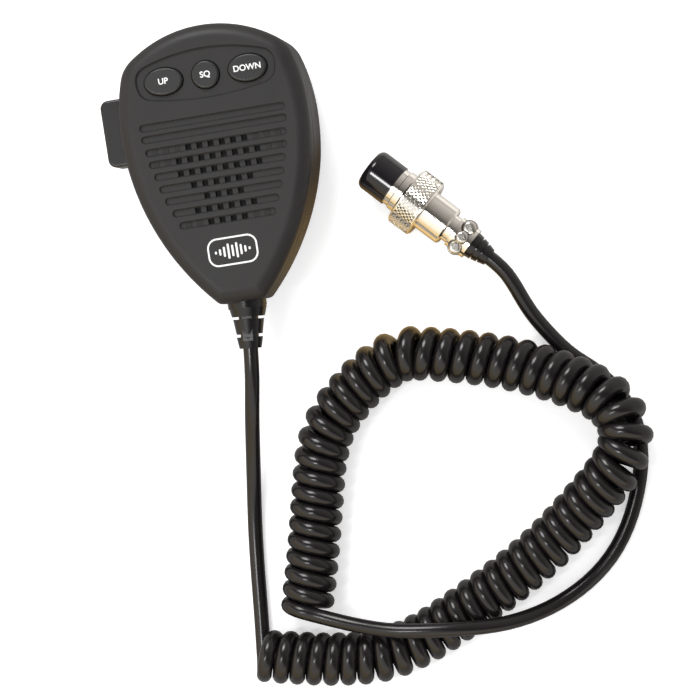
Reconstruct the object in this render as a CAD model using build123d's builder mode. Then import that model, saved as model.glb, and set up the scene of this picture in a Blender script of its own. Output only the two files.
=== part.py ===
from build123d import *
import math
import os

os.makedirs("parts", exist_ok=True)

# Hand microphone on its back, millimetres. Z = 0 is the outer face of the hanging
# stud, which the microphone lies on. +Y runs to its top, +Z out of the grille.

# ---------------------------------------------------------------- driving sizes
bottom_y = -50.0
stud_height = 7.5            # rear shell stands this far off the surface
parting_z = 27.0             # where the two shells meet
parting_groove = 0.35        # chamfer on each shell's rim, a fine groove between them
front_z = 35.0
wall = 2.0
front_edge_r = 4.5
back_edge_r = 2.2
slope_start_y = -8.0         # behind this the back rises towards the cord end
slope_end_z = 14.2

widest_y = 7.0
side_arc_r = 82.0
side_arc_x = -51.7           # x of the right side arc's centre
upper_arc_r = 60.0
upper_arc_x = -29.7
top_arc_r = 40.0
top_arc_y = -2.0
shoulder_r = 11.0
heel_r = 2.5

key_y = 21.9
key_x = 13.5
key_size = (12.4, 8.7)       # outer keys, ellipse axes
centre_key_d = 8.8
key_gap = 0.25
key_top_z = 35.5
key_flange = 1.0
key_flange_t = 1.4
key_bottom_z = 31.0
recess_depth = 0.8
recess_chamfer = 0.35
slot_chamfer = 0.3
key_hole_depth = 3.0          # cuts right through the front wall

slot_rows = [                # y, overall width, half the number of holes through it
    (8.3, 47.0, 0), (4.6, 46.9, 0), (0.4, 45.6, 3),
    (-3.5, 44.5, 4), (-7.5, 42.3, 4), (-11.6, 40.3, 3),
    (-15.6, 37.8, 2), (-19.7, 34.4, 3), (-23.8, 31.2, 2),
]
slot_height = 2.6
hole_pitch = 3.6
hole_width = 1.9

case_screw_places = [(0, 33.7), (-15.5, -30), (15.5, -30)]
case_boss_r = 2.6
post_r = 2.2                  # clamp and pivot posts inside the case
case_head_r = 2.0
case_head_seat_z = 15.0
case_head_h = 1.8
screw_r = 1.0
pilot_r = 1.05
clearance_r = 1.2

board_z = 25.0
board_t = 1.6
board_screw_places = [(17, 6.5), (-9, 6.5), (19.3, 28), (-19.3, 28)]
board_boss_r = 1.8

pivot = (-24.0, -5.0)
pivot_r = 1.0
lever_bore_r = 1.05
lever_bottom_z = 12.4
lever_top_z = 24.6
lever_inner_x = -22.5
lever_outer_x = -36.8
lever_ends_y = (-1.6, 19.9)   # ends of the part that the thumb meets
lever_inset_x = -26.2
lever_corner_r = 2.6
lever_edge_r = 0.8
lever_eye_r = 2.5
lever_tip_y = 22.0
lever_tip_cut = (1.1, 2.2)
lever_window = (9.0, 25.3)
lever_window_centre = (-30.5, 8.75)

stud_head_r = 9.0
stud_head_t = 3.0
stud_neck_r = 6.0

relief_z = 22.5
cord_r = 2.4
relief_lean = 5.0            # degrees, the relief bends towards -X
relief_neck_hole_r = 5.05
relief_seat_r = 6.3          # shallow seat for the relief's collar
relief_seat_depth = 0.8
coil_r = 8.4

plug_ring_centre = (57.0, -27.2, 10.1)
plug_angle = 134.0           # direction of the plug's nose, from +X towards +Y
ring_r = 10.1
ring_half = 4.2
barrel_r = 6.6
nose_r = 6.5

# Cord routes, corner points of smooth lines.
lead_route = [
    (-1.14, -64.95, 22.5), (-1.84, -72.95, 22.5), (-4.5, -84.5, 18.2),
    (-7.4, -96.5, 10), (-10, -109.5, 4), (-11.9, -122, 2.4), (-13.3, -136.5, 2.4),
    (-14.4, -151, 2.4), (-15, -164, 2.4),
]
coil_route = [
    (-15.5, -163.3, 8.4), (-4, -165.7, 8.4), (9, -168.1, 8.4), (24, -169.1, 8.4),
    (38, -165.3, 8.4), (52, -158.6, 8.4), (66, -151.2, 8.4), (80, -142.8, 8.4),
    (91, -134.2, 9.6), (101, -125.6, 12.2), (108.5, -118.8, 14.8), (112.6, -109.4, 15.6),
    (109.4, -99.6, 15.2), (101.5, -93.6, 13.4), (91, -87.8, 10.2), (78, -82.2, 8.4),
    (64, -78, 8.4), (54, -75.7, 8.4), (45, -73.8, 8.4), (36, -77.5, 8.4),
    (27.5, -83.5, 8.4), (19, -91.5, 8.4), (14, -101.5, 8.4), (10.5, -116, 8.4),
    (7, -131, 8.4), (3.8, -143, 8.4), (1.5, -151, 8.4),
]
tail_route = [
    (-4, -149.6, 14.1), (6, -153, 14.4), (17, -157.2, 16.4), (28.5, -160.4, 20),
    (40, -161.9, 21), (52, -163.1, 20), (63, -164, 15), (73, -163.2, 8.8),
    (83, -160.4, 4), (93, -155.2, 2.4), (101.5, -147.9, 2.4), (108, -138.6, 2.4),
    (112.6, -128, 2.4), (115.4, -117, 2.4), (115, -106, 2.4), (111, -96.5, 2.4),
    (105, -89, 2.4), (97.8, -83, 2.4), (92.6, -76.2, 3.2), (87.9, -68.6, 5.5),
    (85.4, -62.6, 7.8), (83.5, -57.1, 9.6), (80.62, -51.66, 10.1), (77.28, -48.2, 10.1),
]


# ---------------------------------------------------------------------- helpers
def half_width(y):
    """Half the body's width at height y, before its corners are rounded."""
    if y <= widest_y:
        return side_arc_x + math.sqrt(side_arc_r**2 - (y - widest_y) ** 2)
    return upper_arc_x + math.sqrt(upper_arc_r**2 - (y - widest_y) ** 2)


def shoulder_point():
    """Where the right upper side arc meets the top arc."""
    low, high = widest_y, top_arc_y + top_arc_r
    for _ in range(40):
        y = (low + high) / 2
        x = half_width(y)
        if x**2 + (y - top_arc_y) ** 2 < top_arc_r**2:
            low = y
        else:
            high = y
    return half_width(low), low


def body_outline(inset=0.0):
    """The microphone's outline, drawn inwards by inset."""
    shoulder_x, shoulder_y = shoulder_point()
    heel_x = half_width(bottom_y)
    side_y = (bottom_y + widest_y) / 2
    upper_y = (widest_y + shoulder_y) / 2
    with BuildSketch() as outline:
        with BuildLine():
            Line((-heel_x, bottom_y), (heel_x, bottom_y))
            for side in (1, -1):
                ThreePointArc(
                    (side * heel_x, bottom_y),
                    (side * half_width(side_y), side_y),
                    (side * half_width(widest_y), widest_y),
                )
                ThreePointArc(
                    (side * half_width(widest_y), widest_y),
                    (side * half_width(upper_y), upper_y),
                    (side * shoulder_x, shoulder_y),
                )
            ThreePointArc(
                (shoulder_x, shoulder_y),
                (0, top_arc_y + top_arc_r),
                (-shoulder_x, shoulder_y),
            )
        make_face()
        corners = outline.vertices().group_by(Axis.Y)
        fillet(corners[-1], radius=shoulder_r)
        fillet(outline.vertices().group_by(Axis.Y)[0], radius=heel_r)
        if inset:
            offset(amount=-inset)
    return outline.sketch


def rear_block(inset=0.0):
    """The rear shell's outer shape, or its hollow when inset by the wall."""
    with BuildPart() as block:
        with BuildSketch(Plane.XY.offset(stud_height + inset)):
            add(body_outline(inset))
        extrude(amount=parting_z - stud_height - inset)
        with BuildSketch(Plane.YZ):
            Polygon(
                (bottom_y - 1, parting_z),
                (40, parting_z),
                (40, stud_height + inset),
                (slope_start_y, stud_height + inset),
                (bottom_y - 1, slope_end_z + inset),
                align=None,
            )
        extrude(amount=50, both=True, mode=Mode.INTERSECT)
        if not inset:
            back_edges = block.edges().filter_by(lambda e: e.center().Z < slope_end_z + 2)
            crease = block.edges().filter_by(Axis.X).filter_by(
                lambda e: abs(e.center().Y - slope_start_y) < 1
            )
            fillet([e for e in back_edges if e not in crease], radius=back_edge_r)
            chamfer(block.faces().sort_by(Axis.Z)[-1].edges(), length=parting_groove)
    return block.part


def save(builder, label):
    builder.part.label = label
    export_step(builder.part, f"parts/{label}.step")


def route_radii(points):
    """One arc for each corner, as large as the two runs beside it allow."""
    places = [Vector(*p) for p in points]
    radii = []
    for before, here, after in zip(places, places[1:], places[2:]):
        run_in, run_out = here - before, after - here
        half_turn = math.radians(run_in.get_angle(run_out)) / 2
        shorter = min(run_in.length, run_out.length)
        radii.append(0.45 * shorter / math.tan(half_turn))
    return radii


def cord_tube(points, radius, label):
    """A plain tube along a route, its radii and volume printed."""
    radii = route_radii(points)
    with BuildPart() as tube:
        with BuildLine() as path:
            FilletPolyline(*points, radius=radii)
        with BuildSketch(Plane(origin=path.line @ 0, z_dir=path.line % 0)):
            Circle(radius)
        sweep()
    length = path.wire().length
    expected = math.pi * radius**2 * length
    print(label, "length", round(length, 1), "smallest radius", round(min(radii), 1))
    print(label, "volume over section x length", round(tube.part.volume / expected, 3))
    save(tube, label)


# ------------------------------------------------------------------ front shell
def key_recess():
    with BuildSketch() as recess:
        with BuildLine():
            ThreePointArc((-21.5, 26.2), (0, 30.3), (21.5, 26.2))
            ThreePointArc((21.5, 26.2), (22.1, 21.6), (20.6, 17.2))
            ThreePointArc((20.6, 17.2), (0, 14.9), (-20.6, 17.2))
            ThreePointArc((-20.6, 17.2), (-22.1, 21.6), (-21.5, 26.2))
        make_face()
        fillet(recess.vertices(), radius=4.5)
    return recess.sketch


with BuildPart() as front_shell:
    with BuildSketch(Plane.XY.offset(parting_z)):
        add(body_outline())
    extrude(amount=front_z - parting_z)
    fillet(front_shell.faces().sort_by(Axis.Z)[-1].edges(), radius=front_edge_r)
    chamfer(front_shell.faces().sort_by(Axis.Z)[0].edges(), length=parting_groove)
    with BuildSketch(Plane.XY.offset(parting_z)):
        add(body_outline(wall))
    extrude(amount=front_z - wall - parting_z, mode=Mode.SUBTRACT)
    # oval recess and the three key holes in it
    with BuildSketch(Plane.XY.offset(front_z)):
        add(key_recess())
    extrude(amount=-recess_depth, mode=Mode.SUBTRACT)
    front_outline = front_shell.faces().sort_by(Axis.Z)[-1].inner_wires()
    chamfer(front_outline[0].edges(), length=recess_chamfer)
    with BuildSketch(Plane.XY.offset(front_z)):
        with Locations((-key_x, key_y), (key_x, key_y)):
            Ellipse(key_size[0] / 2 + key_gap, key_size[1] / 2 + key_gap)
        with Locations((0, key_y)):
            Circle(centre_key_d / 2 + key_gap)
    extrude(amount=-key_hole_depth, mode=Mode.SUBTRACT)
    # grille: nine shallow slots, most of them with a row of holes through
    for row_y, row_width, half_holes in slot_rows:
        with BuildSketch(Plane.XY.offset(front_z)):
            with Locations((0, row_y)):
                SlotOverall(row_width - 2 * slot_chamfer, slot_height - 2 * slot_chamfer)
        extrude(amount=-recess_depth, mode=Mode.SUBTRACT)
        newest = min(
            front_shell.faces().sort_by(Axis.Z)[-1].inner_wires(),
            key=lambda wire: abs(wire.center().Y - row_y),
        )
        chamfer(newest.edges(), length=slot_chamfer)
        if half_holes:
            with BuildSketch(Plane.XY.offset(front_z)):
                with Locations((0, row_y)):
                    with GridLocations(hole_pitch, 1, 2 * half_holes, 1):
                        Rectangle(hole_width, slot_height - 2 * slot_chamfer - 0.2)
            extrude(amount=-key_hole_depth, mode=Mode.SUBTRACT)
    # bosses behind the front wall
    boss_height = front_z - wall - parting_z
    with BuildSketch(Plane.XY.offset(parting_z)):
        with Locations(*case_screw_places):
            Circle(case_boss_r)
    extrude(amount=boss_height)
    with BuildSketch(Plane.XY.offset(board_z + board_t)):
        with Locations(*board_screw_places):
            Circle(board_boss_r)
    extrude(amount=front_z - wall - board_z - board_t)
    with BuildSketch(Plane.XY.offset(lever_top_z + 0.4)):
        with Locations(pivot):
            Circle(post_r)
    extrude(amount=front_z - wall - lever_top_z - 0.4)
    with BuildSketch(Plane.XY.offset(board_z)):
        with Locations(*case_screw_places, *board_screw_places):
            Circle(pilot_r)
    extrude(amount=7, mode=Mode.SUBTRACT)
    with BuildSketch(Plane.XY.offset(lever_top_z)):
        with Locations(pivot):
            Circle(pivot_r)
    extrude(amount=3.4, mode=Mode.SUBTRACT)
    # half of the cord's way out, with a shallow seat for its collar
    with BuildSketch(Plane.XZ.offset(-bottom_y)):
        with Locations((0, relief_z)):
            Circle(relief_neck_hole_r)
    extrude(amount=-wall - 0.5, mode=Mode.SUBTRACT)
    with BuildSketch(Plane.XZ.offset(-bottom_y)):
        with Locations((0, relief_z)):
            Circle(relief_seat_r)
    extrude(amount=-relief_seat_depth, mode=Mode.SUBTRACT)
save(front_shell, "front_shell")

# ------------------------------------------------------------------- rear shell
clamp_x = 7.0
clamp_y = -38.0
clamp_seat_z = relief_z + cord_r
spring_y = 17.0
spring_z = 18.5
spring_anchor_x = -15.5
stud_spigot_r = 3.0

with BuildPart() as rear_posts:
    # posts for the case screws, cord clamp, pivot pin and spring anchor
    with BuildSketch(Plane.XY.offset(stud_height)):
        with Locations(*case_screw_places):
            Circle(case_boss_r + 0.4)
    extrude(amount=parting_z - stud_height)
    with BuildSketch(Plane.XY.offset(stud_height)):
        with Locations((-clamp_x, clamp_y), (clamp_x, clamp_y)):
            Circle(post_r)
    extrude(amount=clamp_seat_z - stud_height)
    with BuildSketch(Plane.XY.offset(stud_height)):
        with Locations((0, clamp_y)):
            Rectangle(6, 4)
    extrude(amount=relief_z - cord_r - stud_height)
    with BuildSketch(Plane.XY.offset(stud_height)):
        with Locations(pivot):
            Circle(post_r)
    extrude(amount=lever_bottom_z - 0.4 - stud_height)
    with BuildSketch(Plane.XY.offset(stud_height)):
        with Locations((spring_anchor_x + 0.8, spring_y)):
            Rectangle(1.4, 4.8)
    extrude(amount=spring_z + 3 - stud_height)
    # they grow out of the middle of the back wall
    add(rear_block(wall / 2), mode=Mode.INTERSECT)

with BuildPart() as rear_shell:
    add(rear_block())
    add(rear_block(wall), mode=Mode.SUBTRACT)
    add(rear_posts.part)
    # case screw holes with deep pockets from the back
    with BuildSketch(Plane.XY.offset(stud_height)):
        with Locations(*case_screw_places):
            Circle(case_head_r + 0.2)
    extrude(amount=case_head_seat_z - stud_height, mode=Mode.SUBTRACT)
    with BuildSketch(Plane.XY.offset(stud_height)):
        with Locations(*case_screw_places):
            Circle(clearance_r)
    extrude(amount=parting_z - stud_height, mode=Mode.SUBTRACT)
    with BuildSketch(Plane.XY.offset(16)):
        with Locations((-clamp_x, clamp_y), (clamp_x, clamp_y)):
            Circle(pilot_r)
    extrude(amount=clamp_seat_z - 16, mode=Mode.SUBTRACT)
    with BuildSketch(Plane.XY.offset(stud_height + wall)):
        with Locations(pivot):
            Circle(pivot_r)
    extrude(amount=6, mode=Mode.SUBTRACT)
    # stud seat
    with BuildSketch(Plane.XY.offset(stud_height)):
        Circle(stud_spigot_r)
    extrude(amount=wall, mode=Mode.SUBTRACT)
    # window for the push-to-talk lever
    with BuildSketch(Plane.XY.offset(lever_bottom_z - 0.6)):
        with Locations(lever_window_centre):
            Rectangle(*lever_window)
    extrude(amount=lever_top_z - lever_bottom_z + 1.2, mode=Mode.SUBTRACT)
    # the other half of the cord's way out
    with BuildSketch(Plane.XZ.offset(-bottom_y)):
        with Locations((0, relief_z)):
            Circle(relief_neck_hole_r)
    extrude(amount=-wall - 0.5, mode=Mode.SUBTRACT)
    with BuildSketch(Plane.XZ.offset(-bottom_y)):
        with Locations((0, relief_z)):
            Circle(relief_seat_r)
    extrude(amount=-relief_seat_depth, mode=Mode.SUBTRACT)
save(rear_shell, "rear_shell")

with BuildPart() as case_screws:
    with BuildSketch(Plane.XY.offset(case_head_seat_z - case_head_h)):
        with Locations(*case_screw_places):
            Circle(case_head_r)
    extrude(amount=case_head_h)
    with BuildSketch(Plane.XY.offset(case_head_seat_z)):
        with Locations(*case_screw_places):
            Circle(screw_r)
    extrude(amount=16)
    # cross recesses
    with BuildSketch(Plane.XY.offset(case_head_seat_z - case_head_h)):
        with Locations(*case_screw_places):
            Rectangle(2.4, 0.5)
            Rectangle(0.5, 2.4)
    extrude(amount=0.9, mode=Mode.SUBTRACT)
save(case_screws, "case_screws")

# ---------------------------------------------------------------- hanging stud
with BuildPart() as hang_stud:
    with BuildSketch():
        Circle(stud_head_r)
    extrude(amount=stud_head_t)
    fillet(hang_stud.edges().filter_by(GeomType.CIRCLE), radius=0.6)
    with BuildSketch(Plane.XY.offset(stud_head_t)):
        Circle(stud_neck_r)
    extrude(amount=stud_height - stud_head_t)
    with BuildSketch(Plane.XY.offset(stud_height)):
        Circle(stud_spigot_r - 0.05)
    extrude(amount=wall)
    with BuildSketch(Plane.XY.offset(2)):
        Circle(1.45)
    extrude(amount=stud_height + wall - 2, mode=Mode.SUBTRACT)
save(hang_stud, "hang_stud")

with BuildPart() as stud_screw:
    with BuildSketch(Plane.XY.offset(stud_height + wall)):
        Circle(3.6)
    extrude(amount=1.9)
    with BuildSketch(Plane.XY.offset(2.6)):
        Circle(1.4)
    extrude(amount=stud_height + wall - 2.6)
    with BuildSketch(Plane.XY.offset(stud_height + wall + 1.9)):
        Rectangle(3.4, 0.6)
        Rectangle(0.6, 3.4)
    extrude(amount=-1, mode=Mode.SUBTRACT)
save(stud_screw, "stud_screw")


# ------------------------------------------------------------------------- keys
def key_sketch(height, grow):
    """A key's outline at a height: an ellipse, or a circle for the centre key."""
    with BuildSketch(Plane.XY.offset(height)) as outline:
        with Locations((key_place_x, key_y)):
            if key_place_x:
                Ellipse(key_size[0] / 2 + grow, key_size[1] / 2 + grow)
            else:
                Circle(centre_key_d / 2 + grow)
    return outline.sketch


tact_size = 6.0
tact_h = 3.4
plunger_r = 1.7
board_top_z = board_z + board_t

for key_place_x, key_name in ((-key_x, "up"), (0, "squelch"), (key_x, "down")):
    with BuildPart() as key:
        add(key_sketch(key_bottom_z, 0))
        extrude(amount=key_top_z - key_bottom_z)
        fillet(key.faces().sort_by(Axis.Z)[-1].edges(), radius=0.7)
        add(key_sketch(key_bottom_z, key_flange))
        extrude(amount=key_flange_t)
    save(key, f"key_{key_name}")
    with BuildPart() as plunger:
        with BuildSketch(Plane.XY.offset(board_top_z + 1.4)):
            with Locations((key_place_x, key_y)):
                Circle(plunger_r)
        extrude(amount=key_bottom_z - board_top_z - 1.4)
    save(plunger, f"tact_plunger_{key_name}")

with BuildPart() as tact_switches:
    with BuildSketch(Plane.XY.offset(board_top_z)):
        with Locations((-key_x, key_y), (0, key_y), (key_x, key_y)):
            Rectangle(tact_size, tact_size)
    extrude(amount=tact_h)
    with BuildSketch(Plane.XY.offset(board_top_z + 0.5)):
        with Locations((-key_x, key_y), (0, key_y), (key_x, key_y)):
            Circle(plunger_r + 0.08)
    extrude(amount=tact_h, mode=Mode.SUBTRACT)
save(tact_switches, "tact_switches")

# ---------------------------------------------------------------- circuit board
with BuildPart() as circuit_board:
    with BuildSketch(Plane.XY.offset(board_z)) as board_outline:
        with Locations((0, 16.8)):
            Rectangle(42.4, 25.6)
        chamfer(board_outline.vertices().group_by(Axis.Y)[-1], length=1)
        with Locations(*board_screw_places):
            Circle(clearance_r, mode=Mode.SUBTRACT)
    extrude(amount=board_t)
save(circuit_board, "circuit_board")

with BuildPart() as board_screws:
    with BuildSketch(Plane.XY.offset(board_z - 1.3)):
        with Locations(*board_screw_places):
            Circle(1.9)
    extrude(amount=1.3)
    with BuildSketch(Plane.XY.offset(board_z)):
        with Locations(*board_screw_places):
            Circle(screw_r)
    extrude(amount=6)
save(board_screws, "board_screws")

# ------------------------------------------------------------- capsule, cloth
capsule_y = -9.0
cloth_t = 0.5
cloth_z = front_z - wall - cloth_t
boot_depth = 7.0

with BuildPart() as grille_cloth:
    with BuildSketch(Plane.XY.offset(cloth_z)):
        with Locations((0, -12)):
            RectangleRounded(34, 29, 3)
    extrude(amount=cloth_t)
save(grille_cloth, "grille_cloth")

with BuildPart() as capsule_boot:
    with BuildSketch(Plane.XY.offset(cloth_z - boot_depth)):
        with Locations((0, capsule_y)):
            Circle(6.25)
    extrude(amount=boot_depth)
    with BuildSketch(Plane.XY.offset(cloth_z - boot_depth + 0.8)):
        with Locations((0, capsule_y)):
            Circle(4.9)
    extrude(amount=boot_depth, mode=Mode.SUBTRACT)
save(capsule_boot, "capsule_boot")

with BuildPart() as mic_capsule:
    with BuildSketch(Plane.XY.offset(cloth_z - boot_depth + 0.8)):
        with Locations((0, capsule_y)):
            Circle(4.85)
    extrude(amount=5.8)
save(mic_capsule, "mic_capsule")

# ---------------------------------------------------------- push-to-talk lever
with BuildPart() as ptt_lever:
    with BuildSketch(Plane.XY.offset(lever_bottom_z)) as lever_outline:
        with BuildLine():
            Polyline(
                (lever_outer_x, lever_ends_y[0]),
                (lever_outer_x, lever_ends_y[1]),
                (lever_inset_x, lever_ends_y[1]),
                (lever_inset_x, lever_tip_y),
                (lever_inner_x - lever_tip_cut[0], lever_tip_y),
                (lever_inner_x, lever_tip_y - lever_tip_cut[1]),
                (lever_inner_x, pivot[1]),
                (lever_inset_x, pivot[1]),
                (lever_inset_x, lever_ends_y[0]),
                (lever_outer_x, lever_ends_y[0]),
            )
        make_face()
        with Locations(pivot):
            Circle(lever_eye_r)
            Circle(lever_bore_r, mode=Mode.SUBTRACT)
    extrude(amount=lever_top_z - lever_bottom_z)
    outer_corners = ptt_lever.edges().filter_by(Axis.Z).group_by(Axis.X)[0]
    fillet(outer_corners, radius=lever_corner_r)
    level_edges = ptt_lever.edges().filter_by(lambda e: e.bounding_box().size.Z < 0.01)
    fillet(level_edges.filter_by(lambda e: e.center().X < -30), radius=lever_edge_r)
save(ptt_lever, "ptt_lever")

with BuildPart() as ptt_pivot_pin:
    with BuildSketch(Plane.XY.offset(stud_height + wall)):
        with Locations(pivot):
            Circle(pivot_r)
    extrude(amount=lever_top_z + 3.2 - stud_height - wall)
save(ptt_pivot_pin, "ptt_pivot_pin")

switch_y = 8.0
switch_z = 20.5
with BuildPart() as ptt_switch:
    with BuildSketch(Plane.XY.offset(16.5)):
        with Locations((-16, switch_y)):
            Rectangle(7, 12)
    extrude(amount=board_z - 16.5)
    with BuildSketch(Plane.YZ.offset(-19.6)):
        with Locations((switch_y, switch_z)):
            Circle(1.08)
    extrude(amount=6, mode=Mode.SUBTRACT)
save(ptt_switch, "ptt_switch")

with BuildPart() as ptt_switch_plunger:
    with BuildSketch(Plane.YZ.offset(lever_inner_x + 0.15)):
        with Locations((switch_y, switch_z)):
            Circle(1.0)
    extrude(amount=6.6)
save(ptt_switch_plunger, "ptt_switch_plunger")

spring_length = spring_anchor_x - lever_inner_x
with BuildPart() as ptt_spring:
    with BuildLine() as spring_line:
        Helix(
            pitch=(spring_length - 0.9) / 5,
            height=spring_length - 0.9,
            radius=2.0,
            center=(lever_inner_x + 0.4, spring_y, spring_z),
            direction=(1, 0, 0),
        )
    with BuildSketch(Plane(origin=spring_line.line @ 0, z_dir=spring_line.line % 0)):
        Circle(0.3)
    sweep(is_frenet=True)
save(ptt_spring, "ptt_spring")

# --------------------------------------------------------- strain relief, cord
relief_start = (0, -51.9, relief_z)
relief_direction = Vector(0, -1, 0).rotate(Axis.Z, -relief_lean)
relief_plane = Plane(origin=relief_start, x_dir=relief_direction, z_dir=(0, 0, 1))
relief_axis = Axis(relief_start, relief_direction)

with BuildPart() as strain_relief:
    # flange inside the shells, neck in their wall and collar outside
    with BuildSketch(Plane(origin=(0, 0, relief_z), x_dir=(0, -1, 0), z_dir=(0, 0, 1))):
        Polygon(
            (46.4, 0), (46.4, 6.1), (47.9, 6.1), (47.9, 5.0), (49.3, 5.0),
            (49.3, 6.2), (51.9, 6.2), (51.9, 0),
            align=None,
        )
    revolve(axis=Axis((0, 0, relief_z), (0, -1, 0)))
    # three tapering rings on a thin core
    with BuildSketch(relief_plane):
        Polygon(
            (-0.8, 0), (-0.8, 6.0), (0.1, 6.0), (3.0, 5.25), (3.0, 3.1),
            (3.8, 3.1), (3.8, 4.95), (8.6, 4.15), (8.6, 2.9), (9.5, 2.9),
            (9.5, 4.2), (13.1, 3.5), (13.1, 0),
            align=None,
        )
    revolve(axis=relief_axis)
    # ribs that bridge the gaps, front and back
    with BuildSketch(relief_plane):
        with Locations((5.5, 0)):
            Rectangle(10.5, 3.2)
    extrude(amount=4.1, both=True)
save(strain_relief, "strain_relief")

with BuildPart() as cord_stub:
    with BuildSketch(Plane.XZ.offset(33)):
        with Locations((0, relief_z)):
            Circle(cord_r)
    extrude(amount=13.4)
save(cord_stub, "cord_stub")

with BuildPart() as cord_clamp:
    with BuildSketch(Plane.XY.offset(clamp_seat_z)):
        with Locations((0, clamp_y)):
            SlotOverall(18.6, 4.6)
        with Locations((-clamp_x, clamp_y), (clamp_x, clamp_y)):
            Circle(clearance_r, mode=Mode.SUBTRACT)
    extrude(amount=1.5)
save(cord_clamp, "cord_clamp")

with BuildPart() as clamp_screws:
    with BuildSketch(Plane.XY.offset(clamp_seat_z + 1.5)):
        with Locations((-clamp_x, clamp_y), (clamp_x, clamp_y)):
            Circle(1.9)
    extrude(amount=1.3)
    with BuildSketch(Plane.XY.offset(17)):
        with Locations((-clamp_x, clamp_y), (clamp_x, clamp_y)):
            Circle(screw_r)
    extrude(amount=clamp_seat_z + 1.5 - 17)
save(clamp_screws, "clamp_screws")

wire_r = 0.35
wire_pitch = 0.8
pad_pitch = 2.5
with BuildPart() as lead_wires:
    for wire in range(-2, 3):
        with BuildLine() as wire_path:
            FilletPolyline(
                (wire * wire_pitch, -33, relief_z),
                (wire * wire_pitch, -28, relief_z),
                (wire * pad_pitch, -10, 20),
                (wire * pad_pitch, 10, 20),
                (wire * pad_pitch, 10, board_z),
                radius=2.0,
            )
        with BuildSketch(Plane(origin=wire_path.line @ 0, z_dir=wire_path.line % 0)):
            Circle(wire_r)
        sweep(path=wire_path.line)
save(lead_wires, "lead_wires")

cord_tube(lead_route, cord_r, "cord_lead")
cord_tube(coil_route, coil_r, "cord_curl")
cord_tube(tail_route, cord_r, "cord_tail")

# ------------------------------------------------------------------------- plug
# Sketches of the plug are drawn along its axis: x towards the nose, y upwards.
nose_direction = Vector(
    math.cos(math.radians(plug_angle)), math.sin(math.radians(plug_angle)), 0
)
plug_plane = Plane(
    origin=plug_ring_centre, x_dir=nose_direction, z_dir=nose_direction.cross(Vector(0, 0, 1))
)
plug_axis = Axis(plug_ring_centre, nose_direction)


def plug_cross_plane(along):
    """A plane square to the plug's axis, its y upwards, at a distance along it."""
    place = Vector(*plug_ring_centre) + nose_direction * along
    return Plane(origin=place, x_dir=nose_direction.cross(Vector(0, 0, 1)), z_dir=nose_direction)


def plug_top_plane(height):
    """A level plane over the plug, its x along the plug, at a height on its axis."""
    origin = Vector(*plug_ring_centre) + Vector(0, 0, height)
    return Plane(origin=origin, x_dir=nose_direction, z_dir=(0, 0, 1))


clamp_front = -15.2          # places along the plug, from the ring's middle
clamp_length = 7.0
clamp_middle = clamp_front - clamp_length / 2
clamp_half = 5.3
split_gap = 0.4
ear_r = 2.6
ear_top = 2.2
head_r = 2.3
thread_r = 0.9
cable_bore_r = 2.7
contact_ring_r = 3.4
cap_r = 7.0
cap_round = 2.2
plug_screw_places = [(clamp_middle, -3.75), (clamp_middle, 3.75)]
saddle_screw_seat = 4.4      # height on the plug's axis of the middle screw's seat
saddle_head_r = 2.1
head_h = 1.4

with BuildPart() as coupling_ring:
    with BuildSketch(plug_plane):
        Polygon(
            (-ring_half, barrel_r + 0.1), (-ring_half, ring_r - 0.9),
            (0.9 - ring_half, ring_r), (ring_half - 0.9, ring_r),
            (ring_half, ring_r - 0.9), (ring_half, 7.9),
            (ring_half - 0.6, 7.6), (-2.2, 7.6), (-2.2, barrel_r + 0.1),
            align=None,
        )
    revolve(axis=plug_axis)
save(coupling_ring, "coupling_ring")

with BuildPart() as plug_nose:
    with BuildSketch(plug_plane):
        Polygon(
            (-2.1, 5.6), (-2.1, 7.3), (-0.9, 7.3), (-0.9, nose_r), (4.5, nose_r),
            (4.5, 7.0), (6.6, 7.0), (6.8, 6.8), (6.8, nose_r - 0.15),
            (7.1, nose_r - 0.15), (7.1, nose_r), (16.2, nose_r),
            (16.5, nose_r - 0.3), (16.5, 5.6),
            align=None,
        )
    revolve(axis=plug_axis)
    # keyway along the bore
    with BuildSketch(plug_cross_plane(16.5)):
        with Locations((0, 5.6)):
            Rectangle(2.0, 0.9)
    extrude(amount=-4, mode=Mode.SUBTRACT)
save(plug_nose, "plug_nose")

with BuildPart() as plug_shell:
    with BuildSketch(plug_plane):
        Polygon(
            (-2.1, 5.5), (-2.1, barrel_r), (-12.6, barrel_r), (-13.2, barrel_r - 0.6),
            (-13.2, 4.6), (-15.2, 4.6), (-15.2, 2.7), (-12.2, 2.7), (-12.2, 5.5),
            align=None,
        )
    revolve(axis=plug_axis)
    # trough under the cable, behind the neck, with an ear for each clamp screw
    with BuildSketch(plug_cross_plane(clamp_front)):
        Circle(clamp_half)
    extrude(amount=-clamp_length)
    with BuildSketch(plug_top_plane(-2.6)):
        with Locations(*plug_screw_places):
            Circle(ear_r)
    extrude(amount=2.6)
    with BuildSketch(plug_top_plane(split_gap / -2)):
        with Locations((clamp_middle, 0)):
            Rectangle(clamp_length, 14)
    extrude(amount=8, mode=Mode.SUBTRACT)
    with BuildSketch(plug_top_plane(-3)):
        with Locations(*plug_screw_places):
            Circle(thread_r + 0.05)
    extrude(amount=3, mode=Mode.SUBTRACT)
    with BuildSketch(plug_cross_plane(clamp_front + 2)):
        Circle(cable_bore_r)
    extrude(amount=-clamp_length - 2, mode=Mode.SUBTRACT)
save(plug_shell, "plug_shell")

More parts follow.
